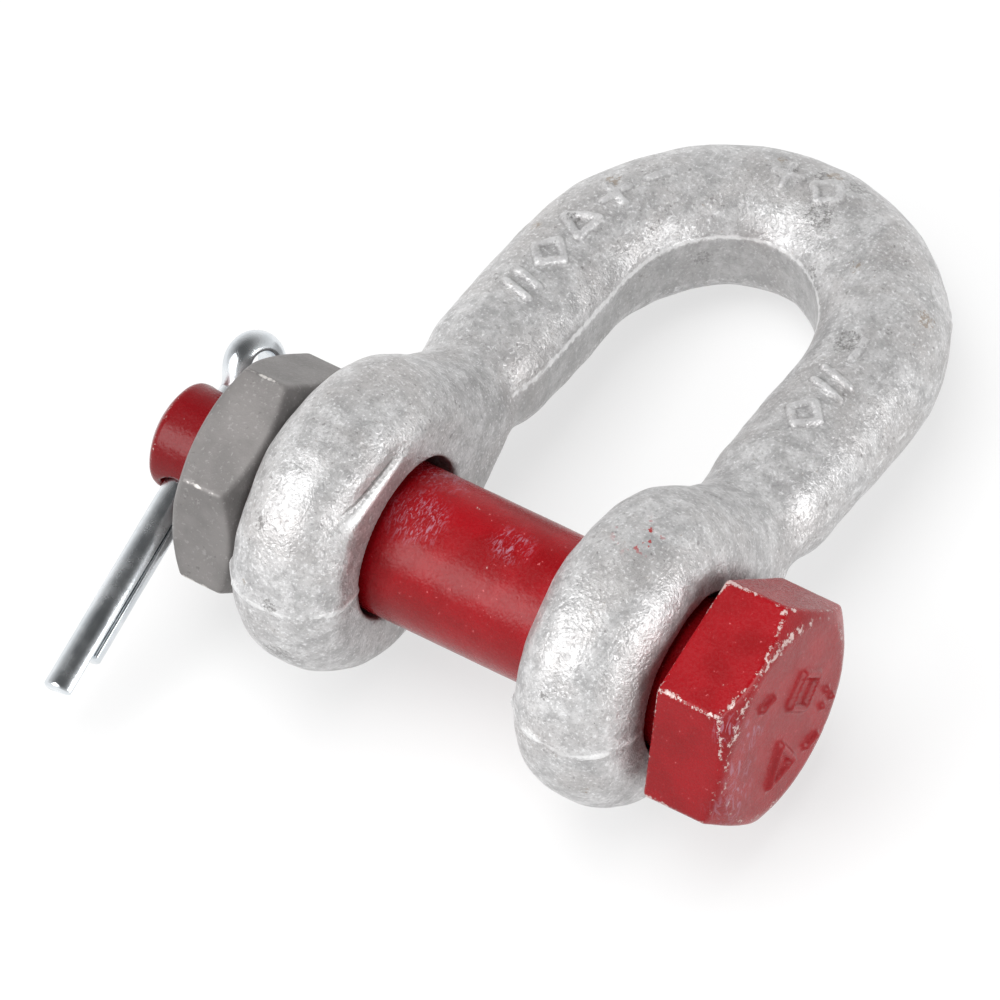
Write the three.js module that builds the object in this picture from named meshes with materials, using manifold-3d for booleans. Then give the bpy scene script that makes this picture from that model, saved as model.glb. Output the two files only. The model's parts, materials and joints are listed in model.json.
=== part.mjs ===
// Bolt-type dee shackle: a forged body, a hex-headed bolt through its two eyes, a thin nut and a cotter pin.
//
// The working frame has X along the bolt with its head at +X, Y from the eyes towards the crown, and Z up
// through the flat of the body. The finished group is tipped about X so that the body lies on its two eyes
// and its crown, and is then moved so that the base of its box is centred on the origin. Sizes are in mm.

import * as THREE from "three";
import { mergeVertices } from "three/addons/utils/BufferGeometryUtils.js";
import Module from "manifold-3d";

// Body
const INSIDE_WIDTH = 24.8; // between the flat inner faces of the two legs
const INSIDE_LENGTH = 51.4; // from the bolt's shank to the flat inside the crown
const LEG_DIAMETER = 16.2;
const INNER_FLAT = 7.6; // from a leg's centre line to the flat trimmed along the inside of the U
const STRAIGHT_LENGTH = 45.8; // from the eye's centre to where the leg starts to curve
const EYE_DIAMETER = 39;
const EYE_WIDTH = 15.2;
const EYE_ROUNDING = 6.9; // how far the rounded rim reaches in from the eye's outside
const HOLE_DIAMETER = 20.8;
const NECK_START = 6.5; // from the eye's centre to the neck's root inside the eye
const NECK_LENGTH = 9; // from the eye's rim to where the leg has its own section
const NECK_INSET = 2.2; // how far the neck starts inside the eye's rim

// Bolt
const PIN_DIAMETER = 19;
const HEAD_ACROSS_FLATS = 27.5;
const HEAD_HEIGHT = 10.1;
const HEAD_FACE = 30.1; // under the head, from the middle of the shackle
const HEAD_CORNER_ANGLE = 41; // degrees up from -Y to one corner of the head
const SHANK_END = 27.3; // where the plain shank stops and the thread starts, towards -X
const STEP_LENGTH = 0.6; // of the cones from the shank down to the thread and from the thread to the tip
const THREAD_DIAMETER = 16.8; // halfway down an M18 thread
const THREAD_END = 37.4;
const TIP_DIAMETER = 13.4;
const TIP_END = 45; // edge of the domed end
const TIP_DOME = 2.2;

// Nut
const NUT_ACROSS_FLATS = 27;
const NUT_THICKNESS = 9;
const NUT_FACE = 28.6; // the face towards the eye, from the middle of the shackle
const NUT_CORNER_ANGLE = 34;
const NUT_BORE_DIAMETER = 17.4;
const NUT_COUNTERSINK_DIAMETER = 19.4;

// Cotter pin
const COTTER_DIAMETER = 4.6; // both half-round legs together
const COTTER_HOLE_DIAMETER = 5.4;
const COTTER_PLACE = 41.3; // from the middle of the shackle, towards -X
const COTTER_ANGLE = 24.7; // degrees up from +Y to the pin's eye
const COTTER_TWIST = 64; // degrees that the split between the legs is turned about the pin
const COTTER_LONG_LEG = 35; // from the bolt's axis
const COTTER_SHORT_LEG = 29.6;
const COTTER_EYE_START = 7.4; // where the legs start to part, from the bolt's axis
const COTTER_EYE_END = 15.8;
const COTTER_EYE_WIDTH = 8.8;
const COTTER_LEG_GAP = 0.2;

// Shared
const CHAMFER_ANGLE = 30; // degrees, on the head's and the nut's corners
const CHAMFER_CIRCLE = 0.94; // diameter of the chamfered face as a share of the width across flats
const REST_GAP = 0.3; // left between the bolt and the bottom of its holes
const MARGIN = 1; // how far a cutting tool runs past what it cuts
const MERGE_DISTANCE = 1e-4; // corners of a geometry nearer than this are one corner

// How finely the round shapes are divided
const TURNED_SEGMENTS = 48; // round the bolt, the nut's bore, the chamfers and the holes through the eyes
const EYE_SEGMENTS = 44;
const EYE_RIM_STEPS = 12;
const NECK_SEGMENTS = 28;
const NECK_STEPS = 9;
const BAR_STEPS = 50; // along the U
const BAR_SEGMENTS = 20; // round its section
const BAR_LEG_SHARE = 0.22; // the part of those steps that each straight leg takes
const DOME_STEPS = 5;
const COTTER_HOLE_SEGMENTS = 24;
const WIRE_STEPS = 80;
const WIRE_SEGMENTS = 7;

// Worked out from the above
const LEG_RADIUS = LEG_DIAMETER / 2;
const PIN_RADIUS = PIN_DIAMETER / 2;
const LEG_OFFSET = INSIDE_WIDTH / 2 + INNER_FLAT;
const EYE_RADIUS = EYE_DIAMETER / 2;
const BOLT_DROP = (HOLE_DIAMETER - PIN_DIAMETER) / 2 - REST_GAP;
const CROWN_LENGTH = INSIDE_LENGTH + PIN_RADIUS + INNER_FLAT; // from the eye's centre to the crown's
const REST_TILT = Math.asin((EYE_RADIUS - LEG_RADIUS) / CROWN_LENGTH);

const wasm = await Module();
wasm.setup();

// A closed geometry as a solid that can be joined and cut.
function solidOf(geometry) {
  const bare = geometry.clone();
  bare.deleteAttribute("normal");
  bare.deleteAttribute("uv");
  const merged = mergeVertices(bare, MERGE_DISTANCE);
  return new wasm.Manifold(
    new wasm.Mesh({
      numProp: 3,
      vertProperties: merged.attributes.position.array,
      triVerts: new Uint32Array(merged.index.array),
    }),
  );
}

function geometryOf(solid) {
  const mesh = solid.getMesh();
  const indexed = new THREE.BufferGeometry()
    .setAttribute("position", new THREE.BufferAttribute(mesh.vertProperties, 3))
    .setIndex(new THREE.BufferAttribute(mesh.triVerts, 1));
  const flat = indexed.toNonIndexed();
  flat.computeVertexNormals();
  return flat;
}

function meshOf(name, solid, material) {
  const mesh = new THREE.Mesh(geometryOf(solid), material);
  mesh.name = name;
  return mesh;
}

// Turns a shape drawn in XY and extruded along Z so that it lies in YZ and is extruded along X.
function alongX(geometry) {
  const turn = new THREE.Matrix4().makeBasis(
    new THREE.Vector3(0, 1, 0),
    new THREE.Vector3(0, 0, 1),
    new THREE.Vector3(1, 0, 0),
  );
  return geometry.applyMatrix4(turn);
}

// A solid of revolution about X. The profile is a list of [x, radius], run so that its faces point out.
function turned(profile, segments = TURNED_SEGMENTS) {
  const points = profile.map(([x, radius]) => new THREE.Vector2(radius, x));
  const lathe = new THREE.LatheGeometry(points, segments);
  const axisToX = new THREE.Matrix4().makeBasis(
    new THREE.Vector3(0, 0, 1),
    new THREE.Vector3(1, 0, 0),
    new THREE.Vector3(0, 1, 0),
  );
  return solidOf(lathe.applyMatrix4(axisToX));
}

// A hexagonal bar along X from one x to another, with one corner at the given angle up from -Y.
function hexBar(from, to, acrossFlats, cornerAngle) {
  const radius = acrossFlats / Math.sqrt(3);
  const outline = new THREE.Shape();
  for (let corner = 0; corner < 6; corner++) {
    const angle = Math.PI - THREE.MathUtils.degToRad(cornerAngle + 60 * corner);
    const y = radius * Math.cos(angle);
    const z = radius * Math.sin(angle);
    if (corner === 0) outline.moveTo(y, z);
    else outline.lineTo(y, z);
  }
  const bar = new THREE.ExtrudeGeometry(outline, { depth: to - from, bevelEnabled: false });
  return solidOf(alongX(bar.translate(0, 0, from)));
}

// The envelope of revolution that chamfers a hexagon's corners at the low end, the high end, or both.
function chamferEnvelope(from, to, acrossFlats, chamferLow, chamferHigh) {
  const outer = acrossFlats / Math.sqrt(3) + MARGIN;
  const face = (CHAMFER_CIRCLE * acrossFlats) / 2;
  const rise = (outer - face) * Math.tan(THREE.MathUtils.degToRad(CHAMFER_ANGLE));
  const profile = [[from, 0]];
  if (chamferLow) profile.push([from, face], [from + rise, outer]);
  else profile.push([from, outer]);
  if (chamferHigh) profile.push([to - rise, outer], [to, face]);
  else profile.push([to, outer]);
  profile.push([to, 0]);
  return turned(profile);
}

// The centre line of the U: up the leg at -X, round the crown and down the leg at +X.
class BodyLine extends THREE.Curve {
  getPoint(t, target = new THREE.Vector3()) {
    const start = EYE_RADIUS - EYE_ROUNDING;
    const crownHeight = CROWN_LENGTH - STRAIGHT_LENGTH;
    const fromEnd = Math.min(t, 1 - t);
    if (fromEnd < BAR_LEG_SHARE) {
      const side = t < BAR_LEG_SHARE ? -1 : 1;
      const along = THREE.MathUtils.lerp(start, STRAIGHT_LENGTH, fromEnd / BAR_LEG_SHARE);
      return target.set(side * LEG_OFFSET, along, 0);
    }
    const turn = (Math.PI * (t - BAR_LEG_SHARE)) / (1 - 2 * BAR_LEG_SHARE);
    return target.set(-LEG_OFFSET * Math.cos(turn), STRAIGHT_LENGTH + crownHeight * Math.sin(turn), 0);
  }
}

// A round section with a flat trimmed on the side towards the inside of the U.
function legSection() {
  const halfFlat = Math.acos(INNER_FLAT / LEG_RADIUS);
  const section = new THREE.Shape();
  section.absarc(0, 0, LEG_RADIUS, -Math.PI / 2 + halfFlat, (3 * Math.PI) / 2 - halfFlat, false);
  return section;
}

function bodyBar() {
  return solidOf(
    new THREE.ExtrudeGeometry(legSection(), {
      extrudePath: new BodyLine(),
      steps: BAR_STEPS,
      curveSegments: BAR_SEGMENTS,
      bevelEnabled: false,
    }),
  );
}

// One eye: a ring with flat faces beside the hole and a rounded rim.
function eyeRing(side) {
  const rimCentre = EYE_RADIUS - EYE_ROUNDING;
  const middle = side * LEG_OFFSET;
  const profile = [[middle - EYE_WIDTH / 2, 0]];
  for (let step = 0; step <= EYE_RIM_STEPS; step++) {
    const angle = -Math.PI / 2 + (Math.PI * step) / EYE_RIM_STEPS;
    profile.push([
      middle + (EYE_WIDTH / 2) * Math.sin(angle),
      rimCentre + EYE_ROUNDING * Math.cos(angle),
    ]);
  }
  profile.push([middle + EYE_WIDTH / 2, 0]);
  return turned(profile, EYE_SEGMENTS);
}

// The neck that carries the eye into the round leg: oval sections along Y that narrow in Z from the eye's
// height to the leg's, while their width in X stays close to the eye's.
function neck(side) {
  const end = EYE_RADIUS + NECK_LENGTH;
  const profile = [new THREE.Vector2(0, NECK_START)];
  for (let step = 0; step <= NECK_STEPS; step++) {
    const share = step / NECK_STEPS;
    const narrowing = (1 - share) ** 2;
    const height = LEG_RADIUS + (EYE_RADIUS - NECK_INSET - LEG_RADIUS) * narrowing;
    profile.push(new THREE.Vector2(height, THREE.MathUtils.lerp(NECK_START, end, share)));
  }
  profile.push(new THREE.Vector2(0, end));
  const oval = new THREE.LatheGeometry(profile, NECK_SEGMENTS);
  const position = oval.attributes.position;
  const halfWidth = EYE_WIDTH / 2;
  for (let i = 0; i < position.count; i++) {
    const height = Math.hypot(position.getX(i), position.getZ(i));
    if (height > 0) position.setX(i, (position.getX(i) / height) * halfWidth);
  }
  oval.translate(side * LEG_OFFSET, 0, 0);
  return solidOf(oval);
}

function shackleBody() {
  const reach = LEG_OFFSET + EYE_WIDTH;
  const radius = HOLE_DIAMETER / 2;
  const hole = turned([[-reach, 0], [-reach, radius], [reach, radius], [reach, 0]]);
  return [-1, 1]
    .flatMap((side) => [eyeRing(side), neck(side)])
    .reduce((joined, piece) => joined.add(piece), bodyBar())
    .subtract(hole);
}

// A straight round bar across the bolt's axis, in line with the cotter pin.
function cotterHole() {
  const bar = new THREE.CylinderGeometry(
    COTTER_HOLE_DIAMETER / 2,
    COTTER_HOLE_DIAMETER / 2,
    TIP_DIAMETER + 2 * MARGIN,
    COTTER_HOLE_SEGMENTS,
  );
  bar.rotateX(THREE.MathUtils.degToRad(COTTER_ANGLE));
  bar.translate(-COTTER_PLACE, 0, 0);
  return solidOf(bar);
}

function boltSolid() {
  const tipRadius = TIP_DIAMETER / 2;
  const profile = [[-TIP_END - TIP_DOME, 0]];
  for (let step = 1; step <= DOME_STEPS; step++) {
    const share = step / DOME_STEPS;
    profile.push([-TIP_END - TIP_DOME * (1 - share * share), tipRadius * share]);
  }
  profile.push(
    [-THREAD_END, tipRadius],
    [-THREAD_END + STEP_LENGTH, THREAD_DIAMETER / 2],
    [-SHANK_END - STEP_LENGTH, THREAD_DIAMETER / 2],
    [-SHANK_END, PIN_RADIUS],
    [HEAD_FACE + MARGIN, PIN_RADIUS],
    [HEAD_FACE + MARGIN, 0],
  );
  const top = HEAD_FACE + HEAD_HEIGHT;
  const head = hexBar(HEAD_FACE, top, HEAD_ACROSS_FLATS, HEAD_CORNER_ANGLE).intersect(
    chamferEnvelope(HEAD_FACE, top, HEAD_ACROSS_FLATS, false, true),
  );
  return turned(profile).add(head).subtract(cotterHole());
}

function nutSolid() {
  const inner = -NUT_FACE;
  const outer = -NUT_FACE - NUT_THICKNESS;
  const bore = NUT_BORE_DIAMETER / 2;
  const mouth = NUT_COUNTERSINK_DIAMETER / 2;
  const sink = mouth - bore;
  const cutter = turned([
    [outer - MARGIN, 0],
    [outer - MARGIN, mouth + MARGIN],
    [outer + sink, bore],
    [inner - sink, bore],
    [inner + MARGIN, mouth + MARGIN],
    [inner + MARGIN, 0],
  ]);
  return hexBar(outer, inner, NUT_ACROSS_FLATS, NUT_CORNER_ANGLE)
    .intersect(chamferEnvelope(outer, inner, NUT_ACROSS_FLATS, true, true))
    .subtract(cutter);
}

// The line that the flat side of the cotter pin's wire follows, in the plane where the legs part:
// X is along the pin towards its eye, Y is from the short leg to the long leg.
function cotterLine() {
  const gap = COTTER_LEG_GAP / 2;
  const spread = (COTTER_EYE_WIDTH - COTTER_DIAMETER) / 2 + gap;
  const wire = COTTER_DIAMETER / 2;
  const turnCentre = COTTER_EYE_END - wire - spread;
  const half = [
    [COTTER_EYE_START, gap],
    [(COTTER_EYE_START + turnCentre) / 2, (gap + spread) / 2],
    [turnCentre, spread],
    [turnCentre + spread * Math.SQRT1_2, spread * Math.SQRT1_2],
  ];
  const points = [
    [-COTTER_LONG_LEG, gap],
    [-COTTER_LONG_LEG / 2, gap],
    [0, gap],
    [COTTER_EYE_START - 1, gap],
    ...half,
    [turnCentre + spread, 0],
    ...half.map(([along, across]) => [along, -across]).reverse(),
    [COTTER_EYE_START - 1, -gap],
    [0, -gap],
    [-COTTER_SHORT_LEG / 2, -gap],
    [-COTTER_SHORT_LEG, -gap],
  ];
  return new THREE.CatmullRomCurve3(
    points.map(([along, across]) => new THREE.Vector3(along, across, 0)),
    false,
    "centripetal",
  );
}

function cotterSolid() {
  const radius = (COTTER_DIAMETER - COTTER_LEG_GAP) / 2;
  const section = new THREE.Shape();
  section.absarc(0, 0, radius, 0, Math.PI, false);
  const wire = new THREE.ExtrudeGeometry(section, {
    extrudePath: cotterLine(),
    steps: WIRE_STEPS,
    curveSegments: WIRE_SEGMENTS,
    bevelEnabled: false,
  });
  wire.rotateX(THREE.MathUtils.degToRad(COTTER_TWIST));
  wire.rotateZ(Math.PI / 2);
  wire.rotateX(THREE.MathUtils.degToRad(COTTER_ANGLE));
  wire.translate(-COTTER_PLACE, 0, 0);
  return solidOf(wire);
}

const galvanised = new THREE.MeshStandardMaterial({ color: 0xb9bab8, roughness: 0.5, metalness: 0.8 });
const redPaint = new THREE.MeshStandardMaterial({ color: 0xb01526, roughness: 0.35, metalness: 0 });
const dullSteel = new THREE.MeshStandardMaterial({ color: 0x8d8b87, roughness: 0.55, metalness: 0.8 });
const brightZinc = new THREE.MeshStandardMaterial({ color: 0xc9cdd0, roughness: 0.25, metalness: 1 });

const fastening = new THREE.Group();
fastening.position.z = -BOLT_DROP;
fastening.add(
  meshOf("bolt", boltSolid(), redPaint),
  meshOf("nut", nutSolid(), dullSteel),
  meshOf("cotter_pin", cotterSolid(), brightZinc),
);

const tipped = new THREE.Group();
tipped.rotation.x = -REST_TILT;
tipped.add(meshOf("shackle_body", shackleBody(), galvanised), fastening);

const shackle = new THREE.Group();
shackle.add(tipped);
const extent = new THREE.Box3().setFromObject(shackle, true);
tipped.position.set(
  -(extent.min.x + extent.max.x) / 2,
  -(extent.min.y + extent.max.y) / 2,
  -extent.min.z,
);

export default shackle;
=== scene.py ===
"""The looks of the bolt-type dee shackle.

Four detailed pieces stand in for the CAD solids, on a pale floor in soft light.

Shapes are worked out in a working frame in millimetres: X along the bolt towards its head, Y from the eyes
towards the crown and Z up through the flat of the body, with the origin at the middle of the two eyes.
Each piece is a distance field that its CAD solid's surface is drawn onto, or a swept section.
"""

import json
import math

import bmesh
import bpy
import numpy as np
from mathutils import Matrix, Vector


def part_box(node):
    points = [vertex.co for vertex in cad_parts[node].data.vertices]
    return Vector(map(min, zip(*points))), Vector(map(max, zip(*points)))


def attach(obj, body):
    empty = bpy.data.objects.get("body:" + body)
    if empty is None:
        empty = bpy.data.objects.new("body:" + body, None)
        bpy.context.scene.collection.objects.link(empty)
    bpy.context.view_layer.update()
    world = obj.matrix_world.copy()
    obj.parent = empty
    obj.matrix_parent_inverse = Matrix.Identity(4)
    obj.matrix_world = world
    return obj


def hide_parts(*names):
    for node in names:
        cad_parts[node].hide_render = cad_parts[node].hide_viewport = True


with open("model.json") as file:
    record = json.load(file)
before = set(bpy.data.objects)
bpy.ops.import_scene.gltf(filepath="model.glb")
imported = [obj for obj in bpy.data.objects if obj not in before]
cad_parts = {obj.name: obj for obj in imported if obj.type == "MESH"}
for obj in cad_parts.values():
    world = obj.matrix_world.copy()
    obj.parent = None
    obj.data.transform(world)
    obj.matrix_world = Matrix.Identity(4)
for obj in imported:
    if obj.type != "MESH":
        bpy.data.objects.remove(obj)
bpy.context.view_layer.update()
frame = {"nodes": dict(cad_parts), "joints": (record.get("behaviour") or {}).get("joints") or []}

MM = 0.001

# Body, in mm
LEG_OFFSET = 20.0
LEG_RADIUS = 8.1
CROWN_RADIUS = 8.45
INNER_FLAT = 7.6
STRAIGHT_LENGTH = 45.8
CROWN_LENGTH = 68.5
EYE_RADIUS = 19.5
EYE_HALF_WIDTH = 7.6
EYE_ROUNDING = 6.9
HOLE_RADIUS = 10.4

# Bolt, in mm
PIN_RADIUS = 9.5
HEAD_ACROSS_FLATS = 27.5
HEAD_HEIGHT = 10.1
HEAD_FACE = 30.1
HEAD_CORNER_ANGLE = 41
SHANK_END = 27.3
THREAD_END = 37.4
TIP_RADIUS = 6.7
TIP_END = 45
TIP_DOME = 2.2
THREAD_PITCH = 2.5

# Nut, in mm
NUT_ACROSS_FLATS = 27
NUT_THICKNESS = 9
NUT_FACE = 28.6
NUT_CORNER_ANGLE = 34

# Cotter pin, in mm
COTTER_RADIUS = 2.3
COTTER_HOLE_RADIUS = 2.7
COTTER_PLACE = 41.3
COTTER_ANGLE = 24.7
COTTER_TWIST = 64
COTTER_LONG_LEG = 35
COTTER_SHORT_LEG = 29.6

CHAMFER_SLOPE = math.tan(math.radians(30))
CHAMFER_CIRCLE = 0.94

# ---------------------------------------------------------------- places, from the frame

BODY_LOW, BODY_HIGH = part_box("shackle_body")
EYE_CENTRE = np.array([
    (BODY_LOW.x + BODY_HIGH.x) / 2,
    BODY_LOW.y + EYE_RADIUS * MM,
    BODY_LOW.z + EYE_RADIUS * MM,
])
JOINTS = {joint["name"]: joint for joint in frame["joints"]}
BOLT_AXIS = np.array(JOINTS["bolt_spin"]["pos_m"])
REST_TILT = math.asin((EYE_RADIUS - LEG_RADIUS) / CROWN_LENGTH)


def tilt_matrix():
    """Turns working directions into row directions."""
    c, s = math.cos(REST_TILT), math.sin(REST_TILT)
    return np.array([[1, 0, 0], [0, c, s], [0, -s, c]])


TILT = tilt_matrix()


def to_working(row_points, centre):
    return (row_points - centre) @ TILT / MM


def to_row(points, centre):
    return points @ TILT.T * MM + centre


# ---------------------------------------------------------------- number helpers


def smooth_max(a, b, reach):
    """The larger of a and b, rounded over a band of the given reach where they meet."""
    h = np.clip(0.5 + 0.5 * (a - b) / reach, 0, 1)
    return b * (1 - h) + a * h + reach * h * (1 - h)


def smooth_min(a, b, reach):
    return -smooth_max(-a, -b, reach)


def smooth_step(low, high, value):
    t = np.clip((value - low) / (high - low), 0, 1)
    return t * t * (3 - 2 * t)


WAVE_COUNT = 10


def waves(points, seed, size):
    """Smooth random relief between about -1 and 1, with features of the given size in mm."""
    rng = np.random.default_rng(seed)
    total = np.zeros(len(points))
    for _ in range(WAVE_COUNT):
        direction = rng.normal(size=3)
        direction /= np.linalg.norm(direction)
        pace = 2 * math.pi / (size * rng.uniform(0.7, 1.6))
        total += np.sin(points @ direction * pace + rng.uniform(0, 2 * math.pi))
    return total / math.sqrt(WAVE_COUNT)


# ---------------------------------------------------------------- drawing a surface onto a field


def put_in_scene(name, data):
    """A new object that holds a mesh, camera or light."""
    made = bpy.data.objects.new(name, data)
    bpy.context.scene.collection.objects.link(made)
    return made


def remeshed(node, voxel):
    """An even quad mesh of a CAD node's outer surface: its vertices, faces and edges."""
    source = frame["nodes"][node]
    copy = put_in_scene("remesh", source.data.copy())
    modifier = copy.modifiers.new("remesh", "REMESH")
    modifier.mode = "VOXEL"
    modifier.voxel_size = voxel * MM
    modifier.use_smooth_shade = True
    bpy.context.view_layer.update()
    made = bpy.data.meshes.new_from_object(copy.evaluated_get(bpy.context.evaluated_depsgraph_get()))
    bpy.data.objects.remove(copy)
    return made


def mesh_points(mesh):
    flat = np.empty(len(mesh.vertices) * 3)
    mesh.vertices.foreach_get("co", flat)
    return flat.reshape(-1, 3)


GRADIENT_STEP = 0.02
SMOOTHING_SHARE = 0.5
SLOWEST_GRADIENT = 0.3
LONGEST_MOVE = 1.5


def gradient_of(field, points):
    """The field's value and gradient, by differences towards the corners of a tetrahedron."""
    corners = np.array([[1, -1, -1], [-1, -1, 1], [-1, 1, -1], [1, 1, 1]], float)
    values = [field(points + GRADIENT_STEP * corner) for corner in corners]
    gradient = sum(corner[None, :] * value[:, None] for corner, value in zip(corners, values))
    return sum(values) / 4, gradient / (4 * GRADIENT_STEP)


def drawn_onto(field, points, edges, rounds):
    """Moves points onto the field's zero surface, evening out their spacing along it between steps."""
    count = len(points)
    neighbours = np.bincount(edges.ravel(), minlength=count)[:, None]
    for turn in range(rounds):
        if turn < rounds - 2:
            total = np.zeros_like(points)
            for axis in range(3):
                total[:, axis] = np.bincount(edges[:, 0], points[edges[:, 1], axis], minlength=count)
                total[:, axis] += np.bincount(edges[:, 1], points[edges[:, 0], axis], minlength=count)
            points = (1 - SMOOTHING_SHARE) * points + SMOOTHING_SHARE * total / neighbours
        value, gradient = gradient_of(field, points)
        length = np.maximum(np.linalg.norm(gradient, axis=1, keepdims=True), SLOWEST_GRADIENT)
        move = value[:, None] * gradient / length**2
        points = points - np.clip(move, -LONGEST_MOVE, LONGEST_MOVE)
    return points


def keep_place(mesh, points):
    """Keeps each vertex's working place, which the materials measure their patterns in."""
    place = mesh.attributes.new("place", "FLOAT_VECTOR", "POINT")
    place.data.foreach_set("vector", points.astype(np.float32).ravel())


def piece_from_field(name, node, voxel, centre, field, measures, rounds=6):
    """A detailed piece whose surface is the field's, made from the CAD node's own surface."""
    mesh = remeshed(node, voxel)
    edges = np.empty(len(mesh.edges) * 2, int)
    mesh.edges.foreach_get("vertices", edges)
    points = to_working(mesh_points(mesh), centre)
    points = drawn_onto(field, points, edges.reshape(-1, 2), rounds)
    for label, measure in measures.items():
        attribute = mesh.attributes.new(label, "FLOAT", "POINT")
        attribute.data.foreach_set("value", measure(points).astype(np.float32))
    keep_place(mesh, points)
    mesh.vertices.foreach_set("co", to_row(points, centre).ravel())
    mesh.shade_smooth()
    mesh.update()
    mesh.name = name
    mesh.materials.clear()
    return put_in_scene(name, mesh)


# ---------------------------------------------------------------- raised marks, which are plain shapes


def outline(*corners):
    """The strokes of a closed shape."""
    return [(start, end) for start, end in zip(corners, corners[1:] + corners[:1])]


DIAMOND = outline((-1.1, 0), (0, 1), (1.1, 0), (0, -1))
TRIANGLE = outline((-1, -0.8), (1, -0.8), (0, 1))
BARS = [((-0.8, -1), (-0.3, 1)), ((0.3, -1), (0.8, 1))]
CROSS = [((-0.9, 0), (0.9, 0)), ((0, -0.9), (0, 0.9))]
DOTS = [((-0.7, -0.6), (-0.7, -0.6)), ((0.7, -0.6), (0.7, -0.6)), ((0, 0.8), (0, 0.8))]
DASH = [((-0.8, 0), (0.8, 0))]

STROKE_HALF_WIDTH = 0.4
STROKE_SHOULDER = (-0.2, 0.3)
BODY_MARK_HEIGHT = 0.65
HEAD_MARK_HEIGHT = 0.6

# Each mark on the head's end: its place in Y and Z, its size
HEAD_MARKS = [
    (DIAMOND, 4, 1.5, 2.9),
    (TRIANGLE, -1, -6, 2.7),
    (DASH, -4, 6.5, 1.5),
    (DOTS, 9, -4, 1.4),
    (DASH, 5.5, -8.5, 1.4),
]


def stroke_distance(u, v, strokes, size):
    """The distance in mm to the nearest of a shape's strokes."""
    nearest = np.full(len(u), np.inf)
    for (start_u, start_v), (end_u, end_v) in strokes:
        run_u, run_v = (end_u - start_u) * size, (end_v - start_v) * size
        from_u, from_v = u - start_u * size, v - start_v * size
        share = np.clip((from_u * run_u + from_v * run_v) / max(run_u**2 + run_v**2, 1e-9), 0, 1)
        nearest = np.minimum(nearest, np.hypot(from_u - share * run_u, from_v - share * run_v))
    return nearest


def marks_cover(u, v, marks):
    """How far each point is covered by the marks, from 0 to 1, with soft sides."""
    nearest = np.full(len(u), np.inf)
    for strokes, place_u, place_v, size in marks:
        near = np.flatnonzero((np.abs(u - place_u) < 2 * size) & (np.abs(v - place_v) < 2 * size))
        distance = stroke_distance(u[near] - place_u, v[near] - place_v, strokes, size)
        nearest[near] = np.minimum(nearest[near], distance)
    inner, outer = STROKE_SHOULDER
    return 1 - smooth_step(STROKE_HALF_WIDTH + inner, STROKE_HALF_WIDTH + outer, nearest)


# ---------------------------------------------------------------- body

CROWN_REACH = CROWN_LENGTH - STRAIGHT_LENGTH
CROWN_TURN = (LEG_OFFSET + CROWN_REACH) / 2
HALF_LENGTH = STRAIGHT_LENGTH + CROWN_TURN * math.pi / 2

MARK_ROW_START = 36
MARK_PITCH = 6
MARK_SIZE = 2.1


def mark_row(start, pitch, shapes):
    """Evenly spaced marks along the top of the body, from a place along the U measured from the left eye.

    Each mark is its shape, its place along the U, its offset out from the centre line and its size.
    """
    return [(shape, start + pitch * turn, 0, MARK_SIZE) for turn, shape in enumerate(shapes)]


BODY_MARKS = (
    mark_row(MARK_ROW_START, MARK_PITCH, (BARS, DIAMOND, TRIANGLE, CROSS, DASH))
    + mark_row(HALF_LENGTH - MARK_PITCH / 2, MARK_PITCH, (CROSS, DIAMOND))
    + mark_row(2 * HALF_LENGTH - MARK_ROW_START, -MARK_PITCH, (DIAMOND, BARS, DASH))
)


def place_on_body(across, along):
    """The offset out from the body's centre line, and the length along it from an eye's centre."""
    past = along - STRAIGHT_LENGTH
    turn = np.arctan2(np.maximum(past, 0) / CROWN_REACH, across / LEG_OFFSET)
    for _ in range(3):
        line_x, line_y = LEG_OFFSET * np.cos(turn), CROWN_REACH * np.sin(turn)
        run_x, run_y = -LEG_OFFSET * np.sin(turn), CROWN_REACH * np.cos(turn)
        gap_x, gap_y = across - line_x, past - line_y
        slope = run_x * gap_x + run_y * gap_y
        turn += slope / np.maximum(run_x**2 + run_y**2 + gap_x * line_x + gap_y * line_y, 20)
    outside = (across / LEG_OFFSET) ** 2 + (past / CROWN_REACH) ** 2 > 1
    distance = np.hypot(gap_x, gap_y) * np.where(outside, 1, -1)
    on_leg = past < 0
    offset = np.where(on_leg, across - LEG_OFFSET, distance)
    return offset, np.where(on_leg, along, STRAIGHT_LENGTH + turn * CROWN_TURN)


def rounded_slab(outline_distance, across, half_width, rounding):
    """A slab across X with the given outline and rounded rims."""
    side = np.abs(across) - (half_width - rounding)
    rim = outline_distance + rounding
    outside = np.hypot(np.maximum(side, 0), np.maximum(rim, 0))
    inside = np.minimum(np.maximum(side, rim), 0)
    return outside + inside - rounding


EYE_INNER_EXTRA = 0.35
NECK_START = 18
NECK_END = 32
NECK_REACH = 8.5
STRIP_END = 40
BAR_START = 22
BAR_REACH = 8
BAR_JOIN_REACH = 2
SWELL_START = 40
SWELL_END = 62
FORGED_ROUGHNESS = ((0.09, 1, 11), (0.05, 2, 4.5))
TRIM_ROUNDING = 0.3
HOLE_ROUNDING = 0.8
NECK_HALF_HEIGHT = 7.3
PARTING_LEVEL = 0.8
RIDGE_HEIGHT = 0.42
RIDGE_WIDTH = 0.4
SCAR_HEIGHT = 14.8
SCAR_SLOPE = 0.24
SCAR_DEPTH = 0.55


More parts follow.
